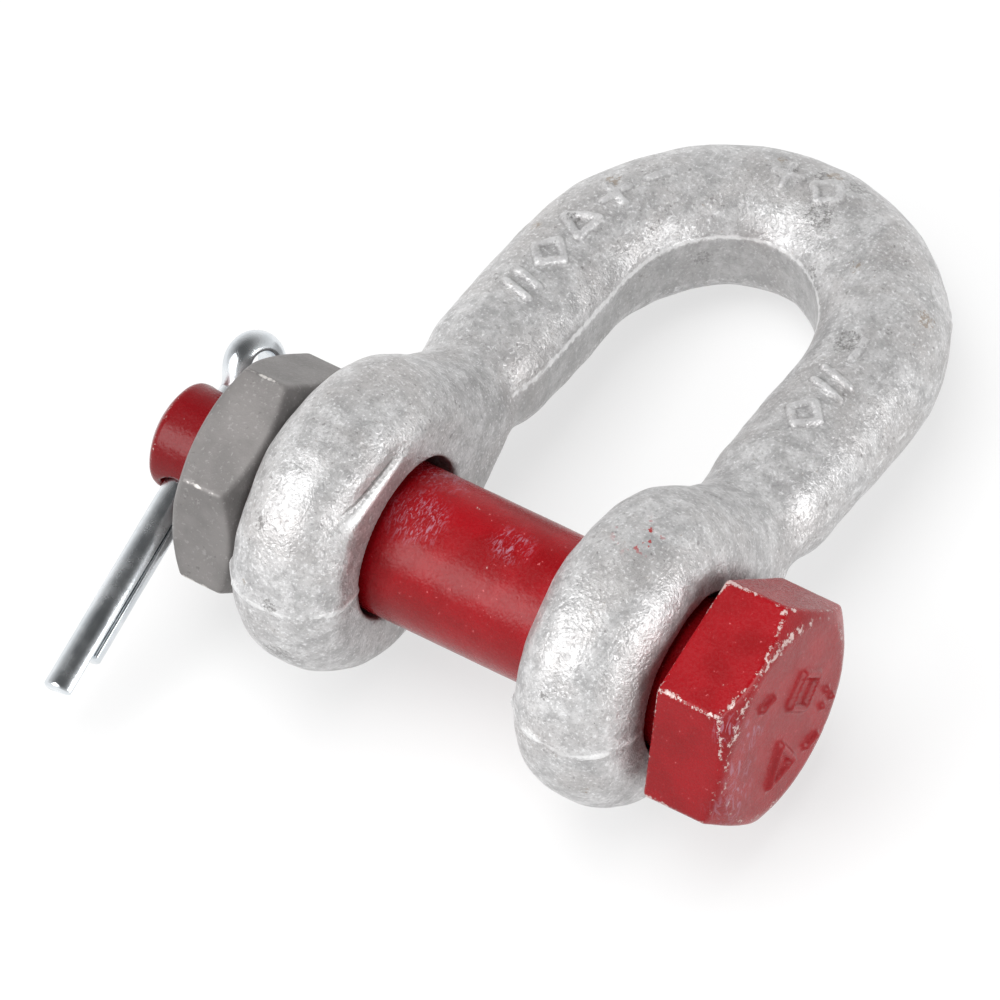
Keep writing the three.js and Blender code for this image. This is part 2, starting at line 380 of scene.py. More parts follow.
def eye_and_neck(across, along, height):
    """An eye that runs smoothly into its leg."""
    ring = np.hypot(along, height) - EYE_RADIUS
    fade = smooth_step(NECK_START, NECK_END, along)
    ends = np.maximum(along - STRIP_END, -along)
    strip = np.maximum(np.abs(height) - NECK_HALF_HEIGHT + 3 * fade, ends)
    outward = across - LEG_OFFSET + EYE_INNER_EXTRA / 2
    half_width = EYE_HALF_WIDTH + EYE_INNER_EXTRA / 2 - 2 * fade
    return rounded_slab(smooth_min(ring, strip, NECK_REACH), outward, half_width, EYE_ROUNDING)


def parting_ridge(points, offset):
    """The low ridge that the forging dies leave round the outside, strongest at the eyes' free ends."""
    along, height = points[:, 1], points[:, 2]
    strength = np.where(along > 20, 0.4 * smooth_step(2, 6, offset), smooth_step(-4, -10, along))
    uneven = np.clip(0.75 + 0.4 * waves(points, 5, 4), 0, 1.3)
    level = height - PARTING_LEVEL - 0.25 * waves(points, 6, 9)
    return RIDGE_HEIGHT * strength * uneven * np.exp(-((level / RIDGE_WIDTH) ** 2))


def scar_place(points, offset):
    """How strong the trimming score is on the left eye's inner side, and the height above its middle."""
    x, along, height = points.T
    strength = np.clip(1 - ((along + 6.5) / 7.5) ** 2, 0, 1) * smooth_step(-3, -5, offset) * (x < 0)
    return strength, height - SCAR_HEIGHT - SCAR_SLOPE * along


def trimming_scar(points, offset):
    """The ledge that the trimming tool leaves: proud below its middle and cut back above it."""
    strength, level = scar_place(points, offset)
    turn = smooth_step(-0.6, 0.6, level)
    proud = smooth_step(-3.5, -0.6, level) * (1 - turn)
    cut_back = turn * (1 - smooth_step(0.6, 3, level))
    return strength * (proud - cut_back)


def bar_radius(length):
    """The bar's radius, which swells a little from the legs to the crown."""
    return LEG_RADIUS + (CROWN_RADIUS - LEG_RADIUS) * smooth_step(SWELL_START, SWELL_END, length)


def marked_side(points):
    """True on the upper side of the bar, where the marks stand."""
    return (points[:, 2] > 3) & (points[:, 1] > 28)


def body_field(points):
    x, along, height = points.T
    across = np.abs(x)
    offset, length = place_on_body(across, along)
    bar = smooth_max(np.hypot(offset, height) - bar_radius(length), BAR_START - along, BAR_REACH)
    shape = smooth_min(bar, eye_and_neck(across, along, height), BAR_JOIN_REACH)
    for depth, seed, size in FORGED_ROUGHNESS:
        shape += depth * waves(points, seed, size)
    shape -= SCAR_DEPTH * trimming_scar(points, offset)
    place = np.where(x < 0, length, 2 * HALF_LENGTH - length)
    top = np.flatnonzero(marked_side(points))
    shape[top] -= BODY_MARK_HEIGHT * marks_cover(place[top], offset[top], BODY_MARKS)
    shape = smooth_max(shape, -offset - INNER_FLAT, TRIM_ROUNDING) - parting_ridge(points, offset)
    return smooth_max(shape, HOLE_RADIUS - np.hypot(along, height), HOLE_ROUNDING)


def body_offset(points):
    """The offset out from the body's centre line."""
    return place_on_body(np.abs(points[:, 0]), points[:, 1])[0]


def past_trim(points):
    """Below 0 on the flat trimmed along the inside and above 0 beside it, in mm near its edge."""
    offset, length = place_on_body(np.abs(points[:, 0]), points[:, 1])
    past_bar = np.hypot(offset, points[:, 2]) - bar_radius(length)
    return offset + INNER_FLAT + past_bar + 3 * np.maximum(offset + 6, 0)


def past_neck(points):
    """0 on the eyes and 1 on the legs and crown."""
    return smooth_step(20, 27, points[:, 1])


# The trim measure places the painted shade on the trimmed flat.
def body_trim(points):
    return smooth_step(0, -0.3, past_trim(points)) * past_neck(points)


def trim_edge(points):
    """1 along the upper edge of the trimmed flat, where a painted highlight goes."""
    near = np.exp(-(((past_trim(points) - 0.05) / 0.22) ** 2))
    return near * past_neck(points) * (points[:, 2] > 0)


# The ridge measure places the painted highlight along the parting ridge.
def body_ridge(points):
    return parting_ridge(points, body_offset(points)) / RIDGE_HEIGHT


def body_mark(points):
    offset, length = place_on_body(np.abs(points[:, 0]), points[:, 1])
    place = np.where(points[:, 0] < 0, length, 2 * HALF_LENGTH - length)
    return marks_cover(place, offset, BODY_MARKS) * marked_side(points)


def body_scar_light(points):
    """Above 0 on the ledge of the trimming score, which takes a painted highlight, and below 0 in the
    crease above it, which takes painted shade.
    """
    strength, level = scar_place(points, body_offset(points))
    ledge = np.exp(-(((level + 0.1) / 0.5) ** 2)) - np.exp(-(((level - 0.85) / 0.3) ** 2))
    return strength * ledge


def patches(*spots):
    """A measure that is 1 in the middle of each spot and fades to 0 at its radius."""

    def measure(points):
        cover = np.zeros(len(points))
        for x, y, z, radius in spots:
            distance = np.linalg.norm(points - (x, y, z), axis=1)
            cover = np.maximum(cover, 1 - smooth_step(0.3 * radius, radius, distance))
        return cover

    return measure


def scattered_spots(seed, on_eyes, on_bar, smallest, largest):
    """Spots at random places on the rims of the eyes and round the upper half of the bar."""
    rng = np.random.default_rng(seed)
    spots = []
    for _ in range(on_eyes):
        around = rng.uniform(0, 2 * math.pi)
        across = rng.choice((-1, 1)) * LEG_OFFSET + rng.uniform(-0.6, 0.6) * EYE_HALF_WIDTH
        spots.append((
            across,
            EYE_RADIUS * math.cos(around),
            EYE_RADIUS * math.sin(around),
            rng.uniform(smallest, largest),
        ))
    for _ in range(on_bar):
        turn, around = rng.uniform(0, math.pi, 2)
        reach = LEG_RADIUS * math.cos(around)
        spots.append((
            (LEG_OFFSET + reach) * math.cos(turn),
            STRAIGHT_LENGTH + (CROWN_REACH + reach) * math.sin(turn),
            LEG_RADIUS * math.sin(around),
            rng.uniform(smallest, largest),
        ))
    return patches(*spots)


# ---------------------------------------------------------------- bolt and nut


def hexagon(y, z, across_flats, corner_angle):
    """The three distances from a hexagon's pairs of flats; corners lie at corner_angle up from -Y."""
    distances = []
    for turn in (30, 90, 150):
        angle = math.radians(180 - corner_angle + turn)
        distances.append(np.abs(y * math.cos(angle) + z * math.sin(angle)) - across_flats / 2)
    return distances


def chamfer(x, rho, face, across_flats):
    """The cone that trims a hexagon's corners at the face that looks along +X."""
    circle = CHAMFER_CIRCLE * across_flats / 2
    return ((x - face) + (rho - circle) * CHAMFER_SLOPE) / math.hypot(1, CHAMFER_SLOPE)


def thread_wave(x, y, z):
    """0 at the root and 1 at the crest of a right-hand thread."""
    turns = x / THREAD_PITCH - np.arctan2(z, y) / (2 * math.pi)
    return 1 - np.abs(2 * (turns % 1) - 1)


def crossed(distances, reach):
    """The part inside all the distances, with its edges rounded."""
    total = distances[0]
    for distance in distances[1:]:
        total = smooth_max(total, distance, reach)
    return total


def edge_distance(distances):
    """The distance in mm to the nearest edge between two of the surfaces."""
    return -np.sort(np.stack(distances), axis=0)[-2]


HEAD_END = HEAD_FACE + HEAD_HEIGHT
DOME_RADIUS = (TIP_RADIUS**2 + TIP_DOME**2) / (2 * TIP_DOME)
DOME_CENTRE = -TIP_END - TIP_DOME + DOME_RADIUS
THREAD_CREST = 8.5
THREAD_ROOT = 7.6


def head_sides(points):
    x, y, z = points.T
    rho = np.hypot(y, z)
    flats = hexagon(y, z, HEAD_ACROSS_FLATS, HEAD_CORNER_ANGLE)
    return [*flats, x - HEAD_END, chamfer(x, rho, HEAD_END, HEAD_ACROSS_FLATS), HEAD_FACE - x]


def tip_sides(points):
    x, y, z = points.T
    rho = np.hypot(y, z)
    return [rho - TIP_RADIUS, np.hypot(x - DOME_CENTRE, rho) - DOME_RADIUS]


def cotter_hole(points):
    x, y, z = points.T
    tilt = math.radians(COTTER_ANGLE)
    return COTTER_HOLE_RADIUS - np.hypot(x + COTTER_PLACE, z * math.cos(tilt) - y * math.sin(tilt))


def bolt_field(points):
    x, y, z = points.T
    rho = np.hypot(y, z)
    head = crossed(head_sides(points), 0.45)
    outer = np.flatnonzero(x > HEAD_END - 2)
    head[outer] -= HEAD_MARK_HEIGHT * marks_cover(y[outer], z[outer], HEAD_MARKS)
    shank = crossed([rho - PIN_RADIUS, -SHANK_END - x, x - HEAD_FACE - 1], 0.6)
    thread_radius = THREAD_ROOT + (THREAD_CREST - THREAD_ROOT) * thread_wave(x, y, z)
    thread = crossed([
        rho - thread_radius,
        (rho - THREAD_CREST - x - THREAD_END + 1.2) * 0.7,
        -THREAD_END - x,
        x + SHANK_END - 1,
    ], 0.3)
    tip = crossed([*tip_sides(points), x + THREAD_END - 2], 0.5)
    shape = np.minimum(smooth_min(shank, head, 0.6), smooth_min(tip, thread, 0.5))
    painted = smooth_step(-SHANK_END, -SHANK_END + 2, x) + smooth_step(-THREAD_END, -THREAD_END - 1, x)
    shape -= painted * (0.008 * waves(points, 11, 3) + 0.004 * waves(points, 12, 1.6))
    return smooth_max(shape, cotter_hole(points), 0.35)


def bolt_edges(points):
    on_head = points[:, 0] > HEAD_FACE - 1
    on_tip = points[:, 0] < -THREAD_END - 1
    edges = np.where(on_head, edge_distance(head_sides(points)), 9)
    return np.where(on_tip, edge_distance(tip_sides(points)), edges)


def nut_sides(points):
    x, y, z = points.T
    rho = np.hypot(y, z)
    flats = hexagon(y, z, NUT_ACROSS_FLATS, NUT_CORNER_ANGLE)
    outer = NUT_FACE + NUT_THICKNESS
    return [
        *flats,
        x + NUT_FACE,
        chamfer(x, rho, -NUT_FACE, NUT_ACROSS_FLATS),
        -outer - x,
        chamfer(-x, rho, outer, NUT_ACROSS_FLATS),
    ]


NUT_CREST = 8.68
NUT_ROOT = 9.3
NUT_COUNTERSINK = 9.75


def nut_field(points):
    x, y, z = points.T
    rho = np.hypot(y, z)
    shape = crossed(nut_sides(points), 0.4)
    shape -= 0.02 * waves(points, 21, 5)
    bore = NUT_CREST + (NUT_ROOT - NUT_CREST) * thread_wave(x, y, z) - rho
    middle = -NUT_FACE - NUT_THICKNESS / 2
    flare = (NUT_COUNTERSINK + np.abs(x - middle) - NUT_THICKNESS / 2 - rho) * 0.7
    return smooth_max(shape, np.maximum(bore, flare), 0.3)


def nut_edges(points):
    """The distance in mm to the nearest of the nut's six corners, or further than that on its chamfers."""
    corners = edge_distance(hexagon(points[:, 1], points[:, 2], NUT_ACROSS_FLATS, NUT_CORNER_ANGLE))
    return corners + 3 * smooth_step(0.2, 0.6, np.abs(points[:, 0] + NUT_FACE + NUT_THICKNESS / 2) - 3.9)


# ---------------------------------------------------------------- cotter pin, a swept half-round wire

COTTER_TURN = 11.3
COTTER_SPREAD = 2.2
COTTER_GAP = 0.1
COTTER_PART = 7.4
SECTION_ROUNDING = 0.35
COTTER_STEPS = 260

# The rounded cut ends: the distance in from the end, and the share of the full section there
COTTER_CAP = [(0.0, 0.0), (0.05, 0.62), (0.16, 0.85), (0.34, 1.0)]


def cotter_line():
    """Points of the wire's inner line.

    Each is along the pin towards its eye, and across from the short leg to the long one.
    """
    bow = COTTER_SPREAD * math.pi
    rise = COTTER_TURN - COTTER_PART
    total = COTTER_LONG_LEG + COTTER_SHORT_LEG + 2 * COTTER_TURN + bow
    points = []
    for travel in np.linspace(0, total, COTTER_STEPS):
        back = total - travel
        if travel < COTTER_LONG_LEG + COTTER_TURN:
            along, side = travel - COTTER_LONG_LEG, 1
        elif back < COTTER_SHORT_LEG + COTTER_TURN:
            along, side = back - COTTER_SHORT_LEG, -1
        else:
            angle = math.pi / 2 - (travel - COTTER_LONG_LEG - COTTER_TURN) / COTTER_SPREAD
            points.append((COTTER_TURN + COTTER_SPREAD * math.cos(angle), COTTER_SPREAD * math.sin(angle)))
            continue
        share = min(max((along - COTTER_PART) / rise, 0), 1)
        parted = COTTER_GAP + (COTTER_SPREAD - COTTER_GAP) * share * share * (3 - 2 * share)
        points.append((along, side * parted))
    return np.array(points)


def half_round_section():
    """The wire's section: across the split plane, and out from it, with small rounded corners."""
    radius = COTTER_RADIUS - COTTER_GAP
    inner = radius - SECTION_ROUNDING
    corner = (math.sqrt(inner**2 - SECTION_ROUNDING**2), SECTION_ROUNDING)
    lift = math.asin(SECTION_ROUNDING / inner)
    points = []
    for angle in np.linspace(-math.pi / 2, lift, 6):
        across, out = math.cos(angle), math.sin(angle)
        points.append((corner[0] + SECTION_ROUNDING * across, corner[1] + SECTION_ROUNDING * out))
    for angle in np.linspace(lift, math.pi - lift, 22)[1:-1]:
        points.append((radius * math.cos(angle), radius * math.sin(angle)))
    for across, out in reversed(points[:6]):
        points.append((-across, out))
    return np.array(points)


def cotter_place(local):
    """From along, across and sideways of the pin to the working frame about the bolt's axis."""
    turn = math.radians(COTTER_TWIST)
    lift = math.radians(COTTER_ANGLE)
    along = np.array([0, math.cos(lift), math.sin(lift)])
    rise = np.array([0, -math.sin(lift), math.cos(lift)])
    across = -math.cos(turn) * np.array([1, 0, 0]) + math.sin(turn) * rise
    sideways = np.cross(along, across)
    place = np.outer(local[:, 0], along) + np.outer(local[:, 1], across) + np.outer(local[:, 2], sideways)
    return place + (-COTTER_PLACE, 0, 0)


def cotter_piece(name):
    line = cotter_line()
    run = np.gradient(line, axis=0)
    run /= np.linalg.norm(run, axis=1, keepdims=True)
    out = np.stack([-run[:, 1], run[:, 0]], axis=1)
    section = half_round_section()
    middle = section.mean(axis=0)
    rings = []
    first = [(0, reach, size) for reach, size in COTTER_CAP]
    last = [(COTTER_STEPS - 1, -reach, size) for reach, size in reversed(COTTER_CAP)]
    whole = [(step, 0, 1.0) for step in range(2, COTTER_STEPS - 2)]
    for step, reach, size in [*first, *whole, *last]:
        shaped = middle + (section - middle) * max(size, 0.02)
        dent = 1 + 0.004 * math.sin(step * 0.21) + 0.002 * math.sin(step * 0.53 + 1)
        ring = line[step] + run[step] * reach + np.outer(shaped[:, 1] * dent, out[step])
        rings.append(np.column_stack([ring, shaped[:, 0]]))
    count = len(section)
    points = cotter_place(np.concatenate(rings))
    faces = []
    for ring in range(len(rings) - 1):
        for corner in range(count):
            after = (corner + 1) % count
            low, high = ring * count, (ring + 1) * count
            faces.append((low + corner, low + after, high + after, high + corner))
    faces.append(tuple(range(count))[::-1])
    faces.append(tuple(range((len(rings) - 1) * count, len(rings) * count)))
    mesh = bpy.data.meshes.new(name)
    mesh.from_pydata(to_row(points, BOLT_AXIS).tolist(), [], faces)
    keep_place(mesh, points)
    mesh.shade_smooth()
    facing_out(mesh)
    return put_in_scene(name, mesh)


def facing_out(mesh):
    """Turns the faces so that they all look outwards."""
    shape = bmesh.new()
    shape.from_mesh(mesh)
    bmesh.ops.recalc_face_normals(shape, faces=shape.faces)
    shape.to_mesh(mesh)
    shape.free()


# ---------------------------------------------------------------- materials


class Look:
    """A material under construction. Sizes are in mm, measured in the piece's own working place."""

    def __init__(self, name, **sockets):
        self.material = bpy.data.materials.new(name)
        self.material.use_nodes = True
        self.tree = self.material.node_tree
        self.shader = self.tree.nodes["Principled BSDF"]
        for socket, value in sockets.items():
            self.shader.inputs[socket.replace("_", " ")].default_value = value
        self.place = self.attribute("place").outputs["Vector"]

    def attribute(self, name):
        node = self.tree.nodes.new("ShaderNodeAttribute")
        node.attribute_name = name
        return node

    def measure(self, name):
        return self.attribute(name).outputs["Fac"]

    def put(self, socket, value):
        if isinstance(value, bpy.types.NodeSocket):
            self.tree.links.new(value, socket)
        else:
            socket.default_value = value

    def math(self, operation, a, b=0.0):
        node = self.tree.nodes.new("ShaderNodeMath")
        node.operation = operation
        self.put(node.inputs[0], a)
        self.put(node.inputs[1], b)
        return node.outputs[0]

    def times(self, a, b):
        return self.math("MULTIPLY", a, b)

    def scaled_place(self, scale, shift):
        node = self.tree.nodes.new("ShaderNodeMapping")
        self.put(node.inputs["Vector"], self.place)
        node.inputs["Scale"].default_value = scale
        node.inputs["Location"].default_value = shift
        return node.outputs[0]

    def noise(self, size, detail=2.0, roughness=0.5, stretch=(1, 1, 1), warp=0.0, seed=0.0):
        """Cloudy noise from 0 to 1; each seed moves it to a different place."""
        scale = [1 / (size * axis) for axis in stretch]
        node = self.tree.nodes.new("ShaderNodeTexNoise")
        self.put(node.inputs["Vector"], self.scaled_place(scale, (seed * 3.7, seed * 1.3, seed * 2.9)))
        node.inputs["Scale"].default_value = 1.0
        node.inputs["Detail"].default_value = detail
        node.inputs["Roughness"].default_value = roughness
        node.inputs["Distortion"].default_value = warp
        return node.outputs["Fac"]

    def cells(self, size, seed):
        """The distance to the middle of the nearest of many scattered cells."""
        node = self.tree.nodes.new("ShaderNodeTexVoronoi")
        self.put(node.inputs["Vector"], self.scaled_place([1 / size] * 3, (seed, 2 * seed, 3 * seed)))
        node.inputs["Scale"].default_value = 1.0
        return node.outputs["Distance"]

    def step(self, value, low, high, out_low=0.0, out_high=1.0):
        """A smooth step from out_low to out_high as the value goes from low to high."""
        node = self.tree.nodes.new("ShaderNodeMapRange")
        node.interpolation_type = "SMOOTHSTEP"
        self.put(node.inputs["Value"], value)
        sockets = ("From Min", "From Max", "To Min", "To Max")
        for socket, number in zip(sockets, (low, high, out_low, out_high)):
            node.inputs[socket].default_value = number
        return node.outputs[0]

    def mix(self, share, a, b):
        node = self.tree.nodes.new("ShaderNodeMix")
        node.data_type = "RGBA"
        self.put(node.inputs["Factor"], share)
        for socket, value in ((node.inputs[6], a), (node.inputs[7], b)):
            self.put(socket, (*value, 1) if isinstance(value, tuple) else value)
        return node.outputs[2]

    def bump(self, height, depth):
        """Fine relief: height is from 0 to 1, and depth in mm."""
        node = self.tree.nodes.new("ShaderNodeBump")
        node.inputs["Strength"].default_value = 1.0
        node.inputs["Distance"].default_value = depth * MM
        self.put(node.inputs["Height"], height)
        return node.outputs["Normal"]

    def finish(self, **sockets):
        for socket, value in sockets.items():
            self.put(self.shader.inputs[socket.replace("_", " ")], value)
        return self.material


# Colours are linear red, green and blue
ZINC_GREY = (0.375, 0.371, 0.373)
ZINC_PALE = (0.61, 0.605, 0.607)
ZINC_DULL = (0.43, 0.413, 0.408)
ZINC_GLINT = (0.85, 0.85, 0.86)
ZINC_SHADE = (0.27, 0.265, 0.268)
DIRT = (0.17, 0.16, 0.155)
# Tops of the raised marks: lighter for wear and as a painted highlight
MARK_TOP_WEAR_AND_HIGHLIGHT = (0.74, 0.735, 0.74)
# Painted shade round the feet of the raised marks
MARK_FOOT_SHADE = (0.24, 0.235, 0.235)
STAIN = (0.17, 0.165, 0.16)
RUST = (0.27, 0.21, 0.15)
PAINT_SPECK = (0.42, 0.05, 0.05)
# Painted shade for the trimmed flat that faces into the U
TRIM_FLAT_SHADE = (0.33, 0.327, 0.325)
# Painted highlight along the trimmed flat's upper edge and the parting ridge
RIM_HIGHLIGHT = (0.88, 0.88, 0.88)
# Painted highlight on the trimming score's ledge and painted shade in its crease
SCAR_LEDGE_HIGHLIGHT = (0.95, 0.95, 0.95)
SCAR_CREASE_SHADE = (0.14, 0.135, 0.13)

PAINT_DEEP = (0.195, 0.0018, 0.004)
PAINT_LIGHT = (0.245, 0.0026, 0.006)
PAINT_GRAIN = (0.6, 0.16, 0.17)
# Painted shade for the bolt's tip beyond the nut
PAINT_TIP_SHADE = (0.14, 0.002, 0.004)
PAINT_SCUFFED = (0.34, 0.19, 0.25)
CHIP_DARK = (0.38, 0.22, 0.21)
CHIP_PALE = (0.7, 0.57, 0.54)

STEEL_DARK = (0.18, 0.171, 0.167)
STEEL_GREY = (0.225, 0.213, 0.208)
STEEL_GRAIN = (0.42, 0.41, 0.4)
STEEL_SPECK = (0.13, 0.125, 0.12)
STEEL_WORN = (0.72, 0.69, 0.66)

WIRE_GREY = (0.68, 0.715, 0.745)
WIRE_PALE = (0.8, 0.83, 0.855)

FLOOR_TONE = (0.23, 0.23, 0.23)
FLOOR_GLOW = 0.66


def galvanised():
    """Hot-dip zinc over a forging: bright grain, duller patches, dark specks, stains and red specks; worn
    tops with a painted highlight on the raised marks and painted shade round their feet; painted shade on
    the trimmed flat; painted highlights along its edge and the parting ridge; and a painted highlight and
    shade on the trimming score.
    """
    look = Look("galvanised_zinc", Metallic=0.58, Specular_IOR_Level=0.4)
    mark, scar_light = look.measure("mark"), look.measure("scar_light")
    grain = look.noise(0.42, 2, 0.65, seed=1)
    coarse = look.noise(2.2, 4, 0.6, seed=2)
    patch = look.noise(9, 3, 0.55, seed=3, warp=0.6)
    tone = look.mix(look.step(coarse, 0.3, 0.7), ZINC_GREY, ZINC_PALE)
    tone = look.mix(look.step(patch, 0.42, 0.68, 0, 0.65), tone, ZINC_DULL)
    tone = look.mix(look.step(grain, 0.55, 0.7, 0, 0.6), tone, ZINC_GLINT)
    tone = look.mix(look.step(grain, 0.46, 0.32, 0, 0.45), tone, ZINC_SHADE)

    speck = look.times(look.step(look.noise(0.8, 2, 0.6, seed=4), 0.65, 0.72), look.step(patch, 0.4, 0.55))
    tone = look.mix(look.times(speck, 0.6), tone, DIRT)
    # The raised marks' tops are lightened, for wear and as a painted highlight.
    tone = look.mix(look.times(look.step(mark, 0.35, 0.8), 0.45), tone, MARK_TOP_WEAR_AND_HIGHLIGHT)
    # Painted shade: a darker band round the foot of each raised mark.
    mark_foot_shade = look.times(look.step(mark, 0.0, 0.15), look.step(mark, 0.4, 0.2))
    tone = look.mix(look.times(mark_foot_shade, 0.4), tone, MARK_FOOT_SHADE)

    smudge = look.math("ADD", look.noise(0.5, 3, 0.75, seed=5), look.times(look.measure("stain"), 0.2))
    tone = look.mix(look.step(smudge, 0.64, 0.76, 0, 0.7), tone, STAIN)
    brown = look.math("ADD", look.noise(0.6, 3, 0.75, seed=6), look.times(look.measure("rust"), 0.22))
    tone = look.mix(look.step(brown, 0.64, 0.76, 0, 0.65), tone, RUST)
    flecks = look.step(look.noise(0.8, 2, 0.5, seed=7), 0.62, 0.68)
    tone = look.mix(look.times(look.measure("paint_specks"), flecks), tone, PAINT_SPECK)

    # Painted shade: the trimmed flat along the inside of the U is darkened.
    tone = look.mix(look.step(look.measure("trim"), 0.2, 0.9, 0, 0.45), tone, TRIM_FLAT_SHADE)
    # Painted highlight: a broken bright line along the trimmed flat's upper edge and along the parting
    # ridge.
    broken = look.step(look.noise(0.9, 2, seed=8), 0.3, 0.65, 0, -0.35)
    rim = look.step(look.math("ADD", look.measure("trim_edge"), broken), 0.3, 0.75)
    bright = look.math("MAXIMUM", rim, look.step(look.measure("ridge"), 0.22, 0.55))
    tone = look.mix(look.times(bright, 0.75), tone, RIM_HIGHLIGHT)
    # Painted highlight on the trimming score's ledge and painted shade in the crease above it.
    tone = look.mix(look.step(scar_light, 0.3, 0.7, 0, 0.9), tone, SCAR_LEDGE_HIGHLIGHT)
    tone = look.mix(look.step(scar_light, -0.3, -0.75, 0, 0.75), tone, SCAR_CREASE_SHADE)

    relief = look.math("ADD", look.times(grain, 0.45), look.times(coarse, 0.8))
    pits = look.math("SUBTRACT", 1.0, look.step(look.cells(2.4, 3), 0.1, 0.22))
    pitted = look.times(pits, look.step(patch, 0.45, 0.6))
    relief = look.math("SUBTRACT", relief, look.times(pitted, 0.2))
    gloss = look.step(look.noise(1.1, 3, 0.6, seed=9), 0.3, 0.7, 0.32, 0.47)
    return look.finish(Base_Color=tone, Roughness=gloss, Normal=look.bump(relief, 0.27))


def red_paint():
    """Red enamel brushed over a forged bolt, chipped to the steel along its edges and scuffed in places,
    with painted shade darkening its tip.
    """
    look = Look("red_enamel", Specular_IOR_Level=0.25)
    fine = look.noise(0.42, 2, 0.6, seed=11)
    wide = look.noise(6, 3, 0.5, seed=12)
    paint = look.mix(look.step(wide, 0.35, 0.65), PAINT_DEEP, PAINT_LIGHT)
    paint = look.mix(look.step(look.noise(0.45, 2, 0.5, seed=13), 0.7, 0.76, 0, 0.6), paint, PAINT_GRAIN)
    # Painted shade: the paint darkens towards the bolt's tip.
    paint = look.mix(look.times(look.measure("tip"), 0.9), paint, PAINT_TIP_SHADE)

    worn = look.math("ADD", look.noise(0.9, 4, 0.8, seed=14), look.measure("wear"))
    worn = look.math("SUBTRACT", worn, look.times(look.measure("edge"), 0.42))
    stray = look.step(look.noise(0.9, 2, 0.5, seed=15), 0.77, 0.79)
    chip = look.math("MAXIMUM", look.step(worn, 0.5, 0.54), stray)
    streaks = look.step(look.noise(0.5, 2, 0.6, (1, 3, 6), 2.0, 16), 0.5, 0.66)
    rub = look.times(look.measure("scuff"), streaks)
    paint = look.mix(look.times(rub, 0.6), paint, PAINT_SCUFFED)
    steel = look.mix(look.noise(0.4, 2, seed=17), CHIP_DARK, CHIP_PALE)
    tone = look.mix(chip, paint, steel)

    dulled = look.times(look.math("MAXIMUM", rub, chip), 0.15)
    rough = look.math("ADD", look.step(fine, 0.3, 0.7, 0.2, 0.32), dulled)
    brushed = look.times(look.noise(1.3, 2, 0.5, seed=18), 0.5)
    relief = look.math("ADD", brushed, look.times(fine, 0.6))
    relief = look.math("SUBTRACT", relief, look.times(chip, 0.5))
    metal = look.times(chip, 0.3)
    return look.finish(Base_Color=tone, Roughness=rough, Metallic=metal, Normal=look.bump(relief, 0.07))


def plain_steel():
    """The nut's dull warm grey steel, with bright worn edges and small dark marks."""
    look = Look("dull_steel", Metallic=0.45, Specular_IOR_Level=0.4)
    wide = look.noise(5, 3, 0.55, seed=21)
    fine = look.noise(0.5, 3, 0.6, seed=22)
    tone = look.mix(look.step(wide, 0.35, 0.65), STEEL_DARK, STEEL_GREY)
    tone = look.mix(look.step(fine, 0.56, 0.7, 0, 0.35), tone, STEEL_GRAIN)
    tone = look.mix(look.step(look.noise(0.8, 2, seed=23), 0.68, 0.74, 0, 0.6), tone, STEEL_SPECK)
    uneven = look.times(look.noise(1.2, 3, 0.6, seed=24), 0.9)
    worn = look.step(look.math("SUBTRACT", uneven, look.measure("edge")), 0.22, 0.4)
    tone = look.mix(look.times(worn, 0.8), tone, STEEL_WORN)
    gloss = look.step(fine, 0.3, 0.7, 0.42, 0.55)
    return look.finish(Base_Color=tone, Roughness=gloss, Normal=look.bump(fine, 0.05))


def bright_zinc():
    """Smooth, bright plated wire with a very fine grain."""
    look = Look("bright_zinc", Metallic=1.0)
    lines = look.noise(0.35, 2, 0.5, seed=31)
    cloud = look.noise(3, 3, 0.5, seed=32)
    tone = look.mix(look.step(cloud, 0.35, 0.65), WIRE_GREY, WIRE_PALE)
    gloss = look.step(cloud, 0.3, 0.7, 0.19, 0.29)
    return look.finish(Base_Color=tone, Roughness=gloss, Normal=look.bump(lines, 0.015))


def pale_floor():
    """A pale floor that gives off a little light, so that it stays near white beside the object."""
    look = Look("pale_floor", Roughness=0.9, Specular_IOR_Level=0.1)
    return look.finish(
        Base_Color=(*FLOOR_TONE, 1),
        Emission_Color=(1, 1, 1, 1),
        Emission_Strength=FLOOR_GLOW,
    )


# ---------------------------------------------------------------- the four pieces

# Spots are (x, y, z, radius) in mm in the working frame of the piece
BODY_STAINS = scattered_spots(seed=51, on_eyes=16, on_bar=10, smallest=1, largest=3)
BODY_RUST = scattered_spots(seed=52, on_eyes=5, on_bar=8, smallest=1, largest=2.2)
BODY_PAINT_SPECKS = patches((LEG_OFFSET, 0, EYE_RADIUS, 4))
BOLT_SCUFFS = patches(
    (-9, -3, 9, 5), (-10, 5, 8, 5), (3, -1, 9.5, 3.5),
    (40.2, -6.5, 5, 4), (40.2, -9.5, 1, 4.5), (40.2, -11, -4, 5), (40, -12, 9, 3),
)
BOLT_WEAR = patches((40, -12, 11, 9), (40, 0, 16, 7), (31, -13, 9, 6), (31, -14, -7, 6), (31, 2, 15, 6))

VOXEL_BODY = 0.4
VOXEL_BOLT = 0.3
VOXEL_NUT = 0.27

